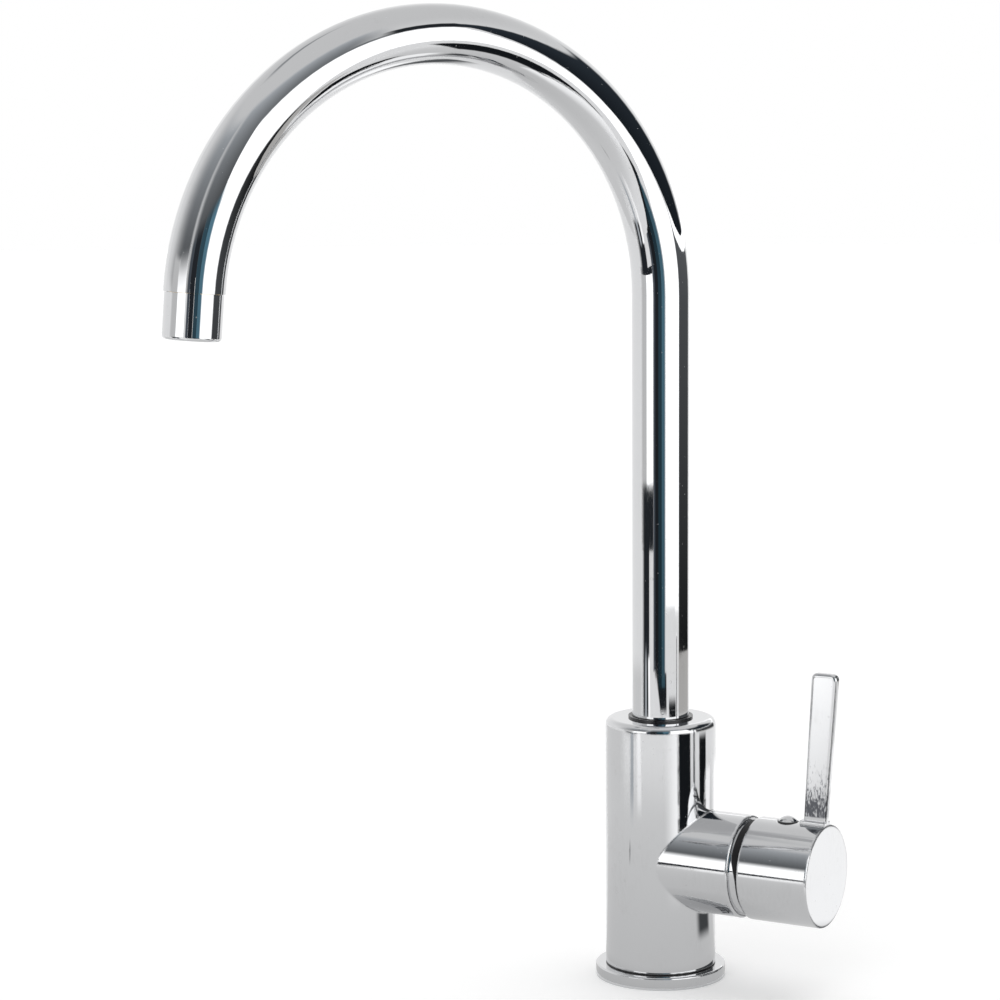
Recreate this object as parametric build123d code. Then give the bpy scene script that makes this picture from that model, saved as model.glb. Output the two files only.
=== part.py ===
"""Three way filtered water tap with a swan neck spout and one side lever. Millimetres, +Z up.

The origin is the centre of the column's underside, and the column stands on Z = 0.
At rest the spout points along -X and the lever stands upright.
"""
from build123d import *
import os
from math import cos, hypot, radians, sin, sqrt, tan

# Overall
overall_height = 427.0        # top of the arch above the worktop
outlet_reach = 222.6          # column axis to outlet axis, at the tube's end
arch_turn = 175.0             # degrees, so that the outlet leans a little outward
lever_azimuth = -60.7         # degrees from +X, seen from above
lever_tilt = 11.0             # degrees, from shut to fully open

# Clearances
seated = 0.05                 # radial, between pieces seated in one another
running = 0.06                # radial, of a shaft that turns in its bush
thrust = 0.2                  # between faces that turn on each other
disc_film = 0.1               # between the ceramic discs
brazed = 0.15                 # radial, of a straight ring brazed into the curved tube
slip = 0.3                    # radial, of the cartridge in its chamber
apart = 0.3                   # between moving pieces that never touch
overcut = 1.0                 # how far a cut runs past the face that it opens

# Cartridge
port_radius = 2.4
port_seal_land = 0.1          # between a port and its seal
port_seal_section = 1.6
port_recess_depth = 1.5
port_spacing = 1.8            # between the centre port's seal and the outer ones
mains_port_angle = -22.5      # degrees below the level, of the hot and cold ports
disc_rim = 1.5                # between the outer ports and the disc's edge
disc_thickness = 4.0
disc_recess_depth = 2.0
cartridge_wall = 3.5          # between the fixed disc and the base's side
base_thickness = 6.0
housing_wall = 2.0
housing_roof = 1.2
slider_room = 3.9             # round the moving disc in the housing
slider_flat_depth = 1.5
slider_rest = -1.2            # offset of the moving disc when the tap is shut
pocket_radius = 6.5
pocket_depth = 2.0
carrier_thickness = 4.8
carrier_gap = 0.5             # between the carrier and the guide
guide_flange = 2.4
guide_play = 0.5              # radial, of the guide's flange in the housing
guide_neck_radius = 9.6
guide_lug_width = 2.5
guide_lug_length = 10.0
guide_rise = 3.0              # of the guide past the tilt pin
guide_seal_section = 1.4
guide_seal_groove = 2.2
neck_wall = 2.3
neck_length = 5.0
nut_shoulder = 1.4            # the nut's bore is wider than the chamber by this
nut_height = 6.0
nut_notch_count = 6
nut_notch = 3.0

# Side branch
branch_height = 53.7
branch_wall = 3.4             # round the nut
branch_edge = 1.0
mouth_depth = 1.2             # of the nut inside the branch's mouth
chamber_floor = 14.5          # from the column axis
waterway_radius = 2.8
riser_wall = 1.1              # on either side of the mixed water riser

# Column, foot and flange
column_margin = 1.8           # the column's radius is larger than the branch's by this
column_height = 116.4
column_edge = 2.9             # rounding of the column's top
foot_step = 3.4               # depth of the step that the flange fits under
flange_margin = 4.45          # the flange's radius is larger than the column's by this
flange_height = 5.6
flange_edge = 0.8
gasket_section = 2.4

# Worktop fixings and inlets
stud_hole_radius = 2.5
stud_hole_wall = 1.9          # between a stud hole and the foot's side
stud_depth = 14.0
inlet_radius = 4.5
inlet_depth = 11.0
mains_inlet_offset = 3.0      # hot and cold inlets, from the column axis toward the lever
filter_inlet_offset = -9.5

# Filtered water path
stub_radius = 3.5
stub_bore = 2.2
stub_sink = 7.0
stub_rise = 18.0
stub_socket_depth = 7.0
hub_wall = 1.15               # round the hub's seal
hub_bottom_lift = 12.0        # above the floor of the spout bore, as all lifts
hub_height = 40.0
hub_bore = 2.5
hub_seal_lift = 4.0
hub_seal_section = 1.15
tube_socket_depth = 12.0
rib_count = 3
rib_width = 1.6
rib_height = 24.0
rib_lift = 10.0
filtered_radius = 4.0
filtered_wall = 1.5

# Spout
tube_radius = 12.5
tube_wall = 1.2
collar_height = 4.0
plug_length = 13.5            # part of the spigot inside the tube
mixed_gap = 1.8               # way for mixed water round the hub
spigot_wall = 2.4
spigot_floor_gap = 1.5
seal_groove_depth = 1.28
seal_groove_width = 3.0
seal_lifts = (20.0, 26.0)

# Spout bore, bushes and retaining screw
seal_space = 1.3              # between the spigot's journal and the bore
bore_depth = 38.4
bush_wall = 1.7
bush_depth = 6.0
bush_lip_width = 1.2
bush_lip = 0.8
lower_bush_height = 4.0
lower_bush_lift = 4.0
screw_lift = 13.5
screw_radius = 2.45
screw_groove_depth = 1.6
screw_groove_width = 5.8
screw_tip_gap = 0.8           # between the screw's tip and the groove's floor
screw_sink = 1.8              # depth of the screw's head below the column's face
screw_socket_radius = 1.3
screw_socket_depth = 3.0

# Outlet, measured from the tube's end along the outlet axis
adapter_inside = 4.0
adapter_outside = 7.0
adapter_wall = 2.55
sleeve_step = 0.5             # the sleeve's radius is smaller than the tube's by this
sleeve_length = 19.0
sleeve_wall = 1.75
sleeve_lip = 1.4
sleeve_lip_width = 1.25
sleeve_edge = 1.6
joint_gap = 0.15
washer_height = 1.2
insert_hole_radius = 1.0
insert_hole_count = 16
screen_recess_depth = 2.4
screen_thickness = 0.5
screen_hole_radius = 0.5
screen_inner_margin = 0.6     # between the nozzle and the screens' recess
nozzle_margin = 0.2           # the nozzle's radius is larger than the filtered tube's by this
nozzle_head_wall = 1.2
nozzle_bore = 2.3
nozzle_top = 0.5
nozzle_neck = 7.6
nozzle_tip = 18.4
filtered_end = 5.0            # filtered tube's end, inside the nozzle's socket

# Lever
pivot_rise = 1.0              # of the tilt pin past the housing's neck
pin_radius = 1.5
pin_sink = 0.4                # depth of the pin's ends below the guide's side
ball_radius = 2.4
ball_depth = 1.2              # of the ball's centre below the carrier's top
shank_radius = 1.8
stem_radius = 3.9
stem_gap = 1.4                # between the carrier and the stem's thick part
stem_square = 8.0
stem_square_gap = 2.0         # between the guide's end and the stem's square
stem_cover = 3.3              # between the stem's end and the cap's end wall
dome_gap = 0.45               # between the domed ring and the cap's bore
dome_rise = 6.3               # of the domed ring out of the branch
dome_ring_wall = 2.3
lever_gap = 4.3               # between the branch and the cap
cap_length = 32.8
cap_wall = 1.5
cap_end_wall = 2.5
cap_edge = 0.8
notch_length = 3.8            # clearance notch under the cap's inner end
notch_angle = 32.5
boss_wall = 2.85              # round the corners of the stem's square
boss_inset = 5.5
pillar_radius = 4.6
grub_inset = 14.4             # of the grub screw from the cap's inner end
grub_radius = 2.5
grub_depth = 6.0              # of the grub screw below the cap's crown
plug_head_radius = 4.7
plug_head_drop = 0.6          # depth of the plug's seat below the cap's crown
plug_rise = 2.3
plug_stem_radius = 3.9
plug_stem_length = 3.0
blade_tip = 89.0              # tip's height above the branch axis
blade_foot_width = 10.5
blade_tip_width = 12.0
blade_lean = 4.9              # how far the tip stands out past the cap's end
blade_thickness = 4.0
blade_corner = 2.6
blade_edge = 1.3
plinth_length = 11.6
plinth_width = 6.0
plinth_rise = 1.6
plinth_edge = 0.5
tenon_length = 4.5
tenon_width = 2.4
tenon_depth = 2.4

# Radii of the cartridge, worked out from its ports, and of the branch and column round it
port_seal_radius = port_radius + port_seal_land + port_seal_section
port_circle = 2 * port_seal_radius + port_spacing
disc_radius = port_circle + port_radius + disc_rim
cartridge_radius = disc_radius + cartridge_wall
housing_bore = cartridge_radius - housing_wall
slider_radius = housing_bore - slider_room
slider_flat = slider_radius - slider_flat_depth
neck_radius = guide_neck_radius + apart + neck_wall
chamber_radius = cartridge_radius + slip
nut_bore_radius = chamber_radius + nut_shoulder
nut_radius = nut_bore_radius - 2 * seated
branch_radius = nut_bore_radius + branch_wall
column_radius = branch_radius + column_margin
foot_radius = column_radius - foot_step
flange_radius = column_radius + flange_margin
gasket_radius = (foot_radius + flange_radius) / 2
stud_offset = foot_radius - stud_hole_wall - stud_hole_radius
cap_bore = branch_radius - cap_wall
plug_seat = branch_radius - plug_head_drop
plinth_top = branch_radius + plinth_rise
boss_radius = hypot(stem_square, stem_square) / 2 + boss_wall

# Radii of the spigot, worked out from the filtered water stub inside it, and of the outlet
hub_radius = stub_radius + hub_seal_section + hub_wall
spigot_bore = hub_radius + mixed_gap
journal_radius = spigot_bore + spigot_wall
bore_radius = journal_radius + seal_space
bush_seat_radius = bore_radius + bush_wall
screw_groove_radius = journal_radius - screw_groove_depth
riser_offset = (bore_radius + stub_radius) / 2
riser_radius = (bore_radius - stub_radius) / 2 - riser_wall
tube_bore = tube_radius - tube_wall
sleeve_radius = tube_radius - sleeve_step
sleeve_bore = sleeve_radius - sleeve_wall
thread_radius = sleeve_bore - seated
adapter_bore = tube_bore - brazed - adapter_wall
nozzle_radius = filtered_radius + nozzle_margin
screen_outer_radius = sleeve_bore - sleeve_lip_width
screen_inner_radius = nozzle_radius + screen_inner_margin

# Heights above the worktop, and the arch
arch_radius = outlet_reach / (1 - cos(radians(arch_turn)))
arch_height = overall_height - tube_radius - arch_radius
bore_floor = column_height - bore_depth
bush_top = column_height + bush_lip
collar_bottom = bush_top + thrust
tube_foot = collar_bottom + collar_height
hub_bottom = bore_floor + hub_bottom_lift
hub_top = hub_bottom + hub_height
screw_height = bore_floor + screw_lift

# Places along the outlet axis
washer_bottom = adapter_outside + washer_height
insert_bottom = sleeve_length - sleeve_lip

# Places along the branch, from the column axis
base_bottom = chamber_floor + thrust
base_top = base_bottom + base_thickness
disc_bottom = base_top - disc_recess_depth
disc_top = disc_bottom + disc_thickness
slider_bottom = disc_top + disc_film
carrier_bottom = slider_bottom + disc_thickness
carrier_top = carrier_bottom + carrier_thickness
guide_bottom = carrier_top + carrier_gap
housing_top = guide_bottom + guide_flange + apart + housing_roof
neck_end = housing_top + neck_length
guide_seal_place = (housing_top + neck_end) / 2
nut_end = housing_top + nut_height
branch_length = nut_end + mouth_depth
pivot_place = neck_end + pivot_rise
guide_end = pivot_place + guide_rise
ball_place = carrier_top - ball_depth
cap_start = branch_length + lever_gap
cap_end = cap_start + cap_length
grub_place = cap_start + grub_inset
boss_start = cap_start + boss_inset
stem_end = cap_end - cap_end_wall - stem_cover

# Ports, across the branch and up from its axis
mains_port = (port_circle * cos(radians(mains_port_angle)), port_circle * sin(radians(mains_port_angle)))
hot_port = (-mains_port[0], mains_port[1])
filter_port = (0.0, -port_circle)
mixed_port = (0.0, port_circle)
ports = (hot_port, mains_port, filter_port, mixed_port, (0.0, 0.0))

# Frames. In the lever frame X runs across, Y up and Z out along the branch.
outward = Vector(1, 0, 0).rotate(Axis.Z, lever_azimuth)
across = outward.rotate(Axis.Z, 90)
lever_frame = Plane(origin=(0, 0, branch_height), x_dir=across, z_dir=outward)
# Sketches on this plane of the lever frame take the place along the branch, then the height.
lever_side = Plane(origin=(0, 0, 0), x_dir=(0, 0, 1), z_dir=(-1, 0, 0))


def arch_point(angle):
    """Point of the arch's centre line after it has turned through the angle."""
    turned = radians(angle)
    return (-arch_radius * (1 - cos(turned)), 0, arch_height + arch_radius * sin(turned))


outlet_axis = Vector(-sin(radians(arch_turn)), 0, cos(radians(arch_turn)))
outlet_frame = Plane(origin=arch_point(arch_turn), x_dir=(0, 1, 0), z_dir=outlet_axis)


def rod(radius, bottom, top, x=0.0, y=0.0):
    """Solid round bar along Z."""
    return Pos(x, y, bottom) * extrude(Circle(radius), top - bottom)


def ring(outer, inner, bottom, top):
    """Round bar along Z with a hole through it."""
    return Pos(0, 0, bottom) * extrude(Circle(outer) - Circle(inner), top - bottom)


def bar_between(radius, start, end):
    """Solid round bar from one point to another."""
    run = Vector(end) - Vector(start)
    return Plane(origin=start, z_dir=run) * extrude(Circle(radius), run.length)


def o_ring(inner, section, middle, x=0.0, y=0.0):
    """Rubber ring round Z, from its inner radius and the diameter of its section."""
    return Pos(x, y, middle) * Torus(inner + section / 2, section / 2)


def spout_sweep(profile, bottom, past_end):
    """Sweep a profile up the riser, round the arch and straight on past the tube's end."""
    path = Line((0, 0, bottom), (0, 0, arch_height))
    path += ThreePointArc(arch_point(0), arch_point(arch_turn / 2), arch_point(arch_turn))
    if past_end > 0:
        end = Vector(arch_point(arch_turn))
        path += Line(end, end + outlet_axis * past_end)
    return sweep(Pos(0, 0, bottom) * profile, path=path)


# ---------------------------------------------------------------- column and worktop foot

def waterways():
    """Inlets, risers and runs drilled in the body, in the lever frame."""
    base = -branch_height
    cut = Part()
    for port, offset in ((hot_port, mains_inlet_offset), (mains_port, mains_inlet_offset),
                         (filter_port, filter_inlet_offset)):
        cut += bar_between(inlet_radius, (port[0], base, offset), (port[0], base + inlet_depth, offset))
        cut += bar_between(waterway_radius, (port[0], base, offset), (port[0], port[1], offset))
        cut += bar_between(waterway_radius, (port[0], port[1], offset), (*port, chamber_floor))
    floor = bore_floor - branch_height
    mixed_bend = (*mixed_port, riser_offset)
    cut += bar_between(waterway_radius, mixed_bend, (*mixed_port, chamber_floor))
    cut += bar_between(riser_radius, mixed_bend, (0, floor, riser_offset))
    cut += bar_between(stub_bore, (0, 0, 0), (0, 0, chamber_floor))
    cut += bar_between(stub_bore, (0, 0, 0), (0, floor, 0))
    return cut


def tap_body():
    column = rod(column_radius, flange_height, column_height)
    column = fillet(column.edges().sort_by(Axis.Z)[-1], column_edge)
    branch = rod(branch_radius, 0, branch_length)
    branch = fillet(branch.edges().sort_by(Axis.Z)[-1], branch_edge)
    body = rod(foot_radius, 0, flange_height) + column + lever_frame * branch
    chamber = rod(chamber_radius, chamber_floor, branch_length)
    chamber += rod(nut_bore_radius, housing_top, branch_length)
    body -= lever_frame * chamber
    body -= lever_frame * waterways()
    body -= rod(bore_radius, bore_floor, column_height)
    body -= rod(bush_seat_radius, column_height - bush_depth, column_height)
    body -= rod(stub_radius + seated, bore_floor - stub_sink, bore_floor)
    for side in (-1, 1):
        body -= rod(stud_hole_radius, 0, stud_depth, y=side * stud_offset)
    screw_hole_start = Vector(0, 0, screw_height) + across * journal_radius
    screw_hole_end = Vector(0, 0, screw_height) + across * (column_radius + overcut)
    body -= bar_between(screw_radius + seated, screw_hole_start, screw_hole_end)
    return body


def base_flange():
    plate = rod(flange_radius, 0, flange_height)
    plate = fillet(plate.edges().sort_by(Axis.Z)[-1], flange_edge)
    plate -= rod(foot_radius + seated, 0, flange_height)
    half = gasket_section / 2 + seated
    return plate - ring(gasket_radius + half, gasket_radius - half, 0, gasket_section + seated)


def base_gasket():
    return o_ring(gasket_radius - gasket_section / 2, gasket_section, gasket_section / 2)


def core_stub():
    return ring(stub_radius, stub_bore, bore_floor - stub_sink, bore_floor + stub_rise)


def upper_bush():
    bush = rod(bush_seat_radius - seated, column_height - bush_depth, column_height)
    bush += rod(bush_seat_radius + bush_lip_width, column_height, bush_top)
    return bush - rod(journal_radius + running, column_height - bush_depth, bush_top)


def lower_bush():
    bottom = bore_floor + lower_bush_lift
    return ring(bore_radius - seated, journal_radius + running, bottom, bottom + lower_bush_height)


def spout_screw():
    """Headless screw at the back of the column, whose tip runs in the spigot's groove."""
    middle = Vector(0, 0, screw_height)
    head = middle + across * (column_radius - screw_sink)
    screw = bar_between(screw_radius, middle + across * (screw_groove_radius + screw_tip_gap), head)
    socket = extrude(RegularPolygon(screw_socket_radius, 6), -screw_socket_depth)
    return screw - Plane(origin=head, z_dir=across) * socket


# ---------------------------------------------------------------- spout

def spout_tube():
    return spout_sweep(Circle(tube_radius) - Circle(tube_bore), tube_foot, 0)


def spout_spigot():
    bottom = bore_floor + spigot_floor_gap
    spigot = rod(journal_radius, bottom, collar_bottom)
    spigot += rod(tube_radius, collar_bottom, tube_foot)
    spigot += rod(tube_bore - seated, tube_foot, tube_foot + plug_length)
    spigot -= rod(spigot_bore, bottom, tube_foot + plug_length)
    half = seal_groove_width / 2
    for lift in seal_lifts:
        middle = bore_floor + lift
        spigot -= ring(bore_radius, journal_radius - seal_groove_depth, middle - half, middle + half)
    half = screw_groove_width / 2
    return spigot - ring(bore_radius, screw_groove_radius, screw_height - half, screw_height + half)


def spout_orings():
    inner = journal_radius - seal_groove_depth + seated
    section = bore_radius - running - inner
    return Compound([o_ring(inner, section, bore_floor + lift) for lift in seal_lifts])


def flow_divider():
    """Hub that joins the stub to the filtered tube, on ribs that let mixed water past."""
    divider = rod(hub_radius, hub_bottom, hub_top)
    reach = sqrt((spigot_bore - seated) ** 2 - (rib_width / 2) ** 2)
    for index in range(rib_count):
        rib = Pos(reach / 2, 0, hub_bottom + rib_lift) * extrude(Rectangle(reach, rib_width), rib_height)
        divider += Rot(0, 0, index * 360 / rib_count) * rib
    divider -= rod(stub_radius + running, hub_bottom, hub_bottom + stub_socket_depth)
    divider -= rod(hub_bore, hub_bottom, hub_top)
    divider -= rod(filtered_radius + seated, hub_top - tube_socket_depth, hub_top)
    middle = hub_bottom + hub_seal_lift
    outer = stub_radius + running + hub_seal_section
    return divider - ring(outer + seated, stub_radius, middle - hub_seal_section / 2 - seated,
                          middle + hub_seal_section / 2 + seated)


def divider_oring():
    return o_ring(stub_radius + running, hub_seal_section, hub_bottom + hub_seal_lift)


def filtered_tube():
    profile = Circle(filtered_radius) - Circle(filtered_radius - filtered_wall)
    return spout_sweep(profile, hub_top - tube_socket_depth + apart, filtered_end)


# ---------------------------------------------------------------- outlet

def outlet_adapter():
    adapter = rod(tube_bore - brazed, -adapter_inside, 0) + rod(thread_radius, 0, adapter_outside)
    return outlet_frame * (adapter - rod(adapter_bore, -adapter_inside, adapter_outside))


def outlet_seal():
    return outlet_frame * ring(thread_radius, adapter_bore, adapter_outside, washer_bottom)


def outlet_sleeve():
    sleeve = rod(sleeve_radius, joint_gap, sleeve_length)
    sleeve = fillet(sleeve.edges().sort_by(Axis.Z)[-1], sleeve_edge)
    sleeve -= rod(sleeve_bore, joint_gap, insert_bottom)
    return outlet_frame * (sleeve - rod(screen_outer_radius, insert_bottom, sleeve_length))


def outlet_insert():
    insert = ring(thread_radius, nozzle_radius + seated, washer_bottom, insert_bottom)
    insert -= ring(screen_outer_radius, screen_inner_radius, insert_bottom - screen_recess_depth,
                   insert_bottom)
    for place in PolarLocations((screen_inner_radius + screen_outer_radius) / 2, insert_hole_count):
        insert -= place * rod(insert_hole_radius, washer_bottom, insert_bottom)
    return outlet_frame * insert


def screen(bottom):
    """Ring screen with two circles of holes."""
    plate = ring(screen_outer_radius - seated, screen_inner_radius + seated, bottom,
                 bottom + screen_thickness)
    step = (screen_outer_radius - screen_inner_radius) / 3
    for circle in (1, 2):
        for place in PolarLocations(screen_inner_radius + circle * step, insert_hole_count):
            plate -= place * rod(screen_hole_radius, bottom, bottom + screen_thickness)
    return plate


def aerator_screens():
    lowest = insert_bottom - screen_thickness
    highest = insert_bottom - screen_recess_depth
    return outlet_frame * Compound([screen(highest), screen(lowest - seated)])


def filtered_nozzle():
    nozzle = rod(filtered_radius + nozzle_head_wall, nozzle_top, nozzle_neck)
    nozzle += rod(nozzle_radius, nozzle_neck, nozzle_tip)
    nozzle -= rod(nozzle_bore, nozzle_top, nozzle_tip)
    return outlet_frame * (nozzle - rod(filtered_radius + seated, nozzle_top, filtered_end + apart))


# ---------------------------------------------------------------- cartridge

def port_seals():
    inner = port_seal_radius - port_seal_section
    middle = chamber_floor + port_seal_section / 2
    return lever_frame * Compound([o_ring(inner, port_seal_section, middle, *port) for port in ports])


def cartridge_base():
    base = rod(cartridge_radius, base_bottom, base_top) - rod(disc_radius + seated, disc_bottom, base_top)
    for port in ports:
        base -= rod(port_radius, base_bottom, base_top, *port)
        base -= rod(port_seal_radius + seated, base_bottom, base_bottom + port_recess_depth, *port)
    return lever_frame * base


def fixed_disc():
    disc = rod(disc_radius, disc_bottom, disc_top)
    for port in ports:
        disc -= rod(port_radius, disc_bottom, disc_top, *port)
    return lever_frame * disc


def moving_disc():
    disc = rod(slider_radius, slider_bottom, carrier_bottom, y=slider_rest)
    return lever_frame * (disc - rod(pocket_radius, slider_bottom, slider_bottom + pocket_depth,
                                     y=slider_rest))


def disc_carrier():
    """Carrier with two flats, and a pocket for the stem's ball."""
    outline = Circle(slider_radius) & Rectangle(2 * slider_flat, 2 * slider_radius)
    disc = Pos(0, slider_rest, carrier_bottom) * extrude(outline, carrier_thickness)
    pocket_floor = ball_place - ball_radius - apart
    return lever_frame * (disc - rod(ball_radius + apart, pocket_floor, carrier_top))


def cartridge_housing():
    housing = rod(cartridge_radius, base_top, housing_top) + rod(neck_radius, housing_top, neck_end)
    housing -= rod(housing_bore, base_top, housing_top - housing_roof)
    return lever_frame * (housing - rod(guide_neck_radius + apart, base_top, neck_end))


def cartridge_nut():
    nut = ring(nut_radius, neck_radius + slip, housing_top, nut_end)
    for place in PolarLocations(nut_radius, nut_notch_count):
        nut -= place * Pos(0, 0, nut_end) * Box(2 * nut_notch, nut_notch, nut_notch)
    return lever_frame * nut


def dome_ring():
    """Ring pressed into the branch's mouth, domed about the lever's tilt axis."""
    dome_end = branch_length + dome_rise
    dome = Pos(0, 0, pivot_place) * Sphere(cap_bore - dome_gap)
    dome &= rod(branch_radius, branch_length, dome_end)
    dome += rod(nut_radius, nut_end + seated, branch_length)
    return lever_frame * (dome - rod(nut_bore_radius - dome_ring_wall, nut_end, dome_end))


def stem_guide():
    """Turning guide with a slot that the stem tilts in, and two lugs that turn the carrier."""
    flange_top = guide_bottom + guide_flange
    guide = rod(housing_bore - guide_play, guide_bottom, flange_top)
    guide += rod(guide_neck_radius, guide_bottom, guide_end)
    lug_bottom = carrier_bottom + apart
    for side in (-1, 1):
        lug = extrude(Rectangle(guide_lug_width, guide_lug_length), flange_top - lug_bottom)
        guide += Pos(side * (slider_flat + apart + guide_lug_width / 2), 0, lug_bottom) * lug
    swing = (pivot_place - guide_bottom) * tan(radians(lever_tilt))
    slot = Rectangle(2 * (stem_radius + apart), 2 * (stem_radius + swing + apart))
    guide -= Pos(0, 0, guide_bottom) * extrude(slot, guide_end - guide_bottom)
    groove_radius = guide_neck_radius + apart - running - guide_seal_section - seated
    half = guide_seal_groove / 2
    guide -= ring(guide_neck_radius + overcut, groove_radius, guide_seal_place - half,
                  guide_seal_place + half)
    return lever_frame * (guide - pin_bar(pin_radius + seated))


def pin_bar(radius):
    """Bar across the guide at the lever's tilt axis."""
    half = guide_neck_radius - pin_sink
    return bar_between(radius, (-half, 0, pivot_place), (half, 0, pivot_place))


def guide_oring():
    inner = guide_neck_radius + apart - running - guide_seal_section
    return lever_frame * o_ring(inner, guide_seal_section, guide_seal_place)


def tilt_pin():
    return lever_frame * pin_bar(pin_radius)


# ---------------------------------------------------------------- lever

def lever_stem():
    stem_start = carrier_top + stem_gap
    square_start = guide_end + stem_square_gap
    stem = Pos(0, 0, ball_place) * Sphere(ball_radius)
    stem += rod(shank_radius, ball_place, stem_start) + rod(stem_radius, stem_start, square_start)
    square = extrude(Rectangle(stem_square, stem_square), stem_end - square_start)
    stem += Pos(0, 0, square_start) * square
    return lever_frame * (stem - pin_bar(pin_radius + running))


def tenon(clearance):
    """Tongue under the blade's foot, or the slot for it when given a clearance."""
    width = tenon_width + 2 * clearance
    length = tenon_length + 2 * clearance
    depth = tenon_depth + plinth_rise
    place = Pos(0, plinth_top - depth / 2, cap_end - blade_foot_width / 2)
    return place * Box(width, depth, length)


def handle_cap():
    """Hollow cap with a boss that grips the stem's square, and a pillar for the grub screw."""
    cap = rod(branch_radius, cap_start, cap_end)
    cap = fillet(cap.edges().filter_by(GeomType.CIRCLE), cap_edge)
    cap -= rod(cap_bore, cap_start, cap_end - cap_end_wall)
    boss = rod(boss_radius, boss_start, cap_end - cap_end_wall)
    boss += bar_between(pillar_radius, (0, 0, grub_place), (0, cap_bore + cap_wall / 2, grub_place))
    cap += boss
    socket = stem_square + 2 * seated
    cap -= Pos(0, 0, boss_start) * extrude(Rectangle(socket, socket), stem_end + apart - boss_start)
    cap -= bar_between(grub_radius + seated, (0, 0, grub_place), (0, branch_radius, grub_place))
    cap -= bar_between(plug_head_radius + seated, (0, plug_seat, grub_place),
                       (0, branch_radius + overcut, grub_place))
    cap -= bar_between(plug_stem_radius + seated, (0, plug_seat - plug_stem_length - seated, grub_place),
                       (0, plug_seat, grub_place))
    slope = tan(radians(notch_angle))
    low = -branch_radius - overcut
    notch = Polygon((cap_start - overcut, -branch_radius + slope * (notch_length + overcut)),
                    (cap_start - overcut, low), (cap_start + notch_length + overcut / slope, low), align=None)
    cap -= extrude(lever_side * notch, branch_radius, both=True)
    return lever_frame * (cap - tenon(seated))


def lever_blade():
    """Flat bar that leans outward from the cap's crown, on a low plinth."""
    foot = branch_radius - tenon_depth
    inner = cap_end - blade_foot_width
    outer_tip = cap_end + blade_lean
    outline = Polygon((inner, foot), (cap_end, foot), (cap_end, branch_radius), (outer_tip, blade_tip),
                      (outer_tip - blade_tip_width, blade_tip), (inner, branch_radius), align=None)
    outline = fillet(outline.vertices().sort_by(Axis.Y)[-2:], blade_corner)
    blade = extrude(lever_side * outline, blade_thickness / 2, both=True)
    blade = fillet(blade.faces().filter_by(Axis.X).edges(), blade_edge)
    side = Pos(cap_end - plinth_length / 2, (foot + plinth_top) / 2)
    side *= Rectangle(plinth_length, plinth_top - foot)
    plinth = extrude(lever_side * side, plinth_width / 2, both=True)
    top_sides = plinth.edges().filter_by(Axis.Z).group_by(Axis.Y)[-1]
    blade += fillet(top_sides, plinth_edge)
    return lever_frame * (blade - rod(branch_radius, cap_start, outer_tip) + tenon(0))


def grub_screw():
    grub_top = branch_radius - grub_depth
    screw = bar_between(grub_radius, (0, stem_square / 2, grub_place), (0, grub_top, grub_place))
    head = Plane(origin=(0, grub_top, grub_place), z_dir=(0, 1, 0))
    return lever_frame * (screw - head * extrude(RegularPolygon(screw_socket_radius, 6),
                                                 -screw_socket_depth))


def indicator_plug():
    """Domed button whose stem fills the grub screw's hole."""
    rise = plug_head_drop + plug_rise
    sphere_radius = (plug_head_radius ** 2 + rise ** 2) / (2 * rise)
    dome = Pos(0, plug_seat + rise - sphere_radius, grub_place) * Sphere(sphere_radius)
    dome &= bar_between(plug_head_radius, (0, plug_seat, grub_place), (0, plug_seat + rise, grub_place))
    stem_bottom = plug_seat - plug_stem_length
    return lever_frame * (dome + bar_between(plug_stem_radius, (0, stem_bottom, grub_place),
                                             (0, plug_seat, grub_place)))


pieces = (
    tap_body, base_flange, base_gasket, core_stub, upper_bush, lower_bush, spout_screw,
    spout_tube, spout_spigot, spout_orings, flow_divider, divider_oring, filtered_tube,
    outlet_adapter, outlet_seal, outlet_sleeve, outlet_insert, aerator_screens, filtered_nozzle,
    port_seals, cartridge_base, fixed_disc, moving_disc, disc_carrier, cartridge_housing,
    cartridge_nut, dome_ring, stem_guide, guide_oring, tilt_pin,
    lever_stem, handle_cap, lever_blade, grub_screw, indicator_plug,
)

os.makedirs("parts", exist_ok=True)
for piece in pieces:
    export_step(piece(), f"parts/{piece.__name__}.step")
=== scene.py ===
"""Three way filtered water tap: finishes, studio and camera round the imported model. Metres, +Z up."""
from math import cos, pi, radians, sin

import bmesh
import bpy
from mathutils import Euler, Matrix, Vector

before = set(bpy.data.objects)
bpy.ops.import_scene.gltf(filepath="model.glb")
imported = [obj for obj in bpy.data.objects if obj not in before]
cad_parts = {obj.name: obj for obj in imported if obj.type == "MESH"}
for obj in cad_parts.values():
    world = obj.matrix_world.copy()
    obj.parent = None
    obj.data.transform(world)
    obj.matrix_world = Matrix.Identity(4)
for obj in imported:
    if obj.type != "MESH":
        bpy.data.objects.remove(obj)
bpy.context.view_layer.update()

# ---------------------------------------------------------------- tap body
# One brass casting, a round column with a side branch, buffed by hand and chromed all over. Studs from
# below clamp it to the worktop. Buffing leaves its faces very slightly wavy, and use leaves a thin haze
# and a few dried drops.


def node(tree, kind, inputs=None, **settings):
    """Add a shader node. A number or colour is set on its input, and an output is linked to it."""
    made = tree.nodes.new(kind)
    for name, value in settings.items():
        setattr(made, name, value)
    for key, value in (inputs or {}).items():
        if isinstance(value, bpy.types.NodeSocket):
            tree.links.new(value, made.inputs[key])
        else:
            made.inputs[key].default_value = value
    return made


def maths(tree, operation, *values):
    """Output of a Math node on one to three numbers or outputs."""
    return node(tree, "ShaderNodeMath", dict(enumerate(values)), operation=operation).outputs[0]


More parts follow.
